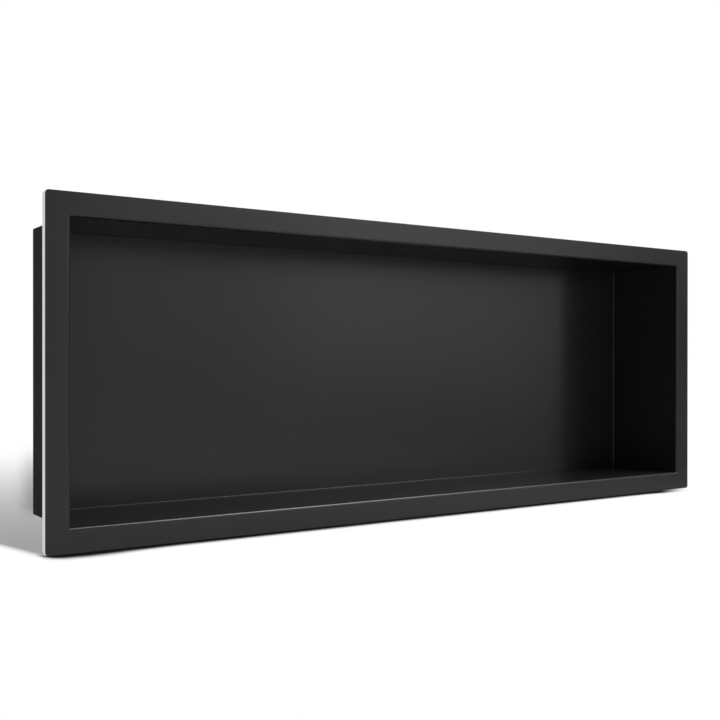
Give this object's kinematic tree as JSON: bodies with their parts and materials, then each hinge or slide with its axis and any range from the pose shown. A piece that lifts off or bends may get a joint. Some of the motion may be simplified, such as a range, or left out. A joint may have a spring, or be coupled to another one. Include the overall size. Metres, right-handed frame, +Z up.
{
  "type": "shower niche insert",
  "caption": "Long rectangular wall recess of folded sheet steel, coated black, with a flat flange and a turned-back lip, set into a shower wall to hold bottles and soap.",
  "frame": {"origin": "centre of the wall plane, on which the free edge of the flange's lip rests", "axes": "+X along the niche, +Y into the wall, +Z up"},
  "size_m": [0.9644, 0.1225, 0.3548],
  "materials": {
    "black_coat": "satin black coat on stainless sheet",
    "bare_steel": "bare satin stainless on the flange's turned-back lip"
  },
  "bodies": {
    "root": {"niche_shell": "black_coat"}
  },
  "joints": []
}
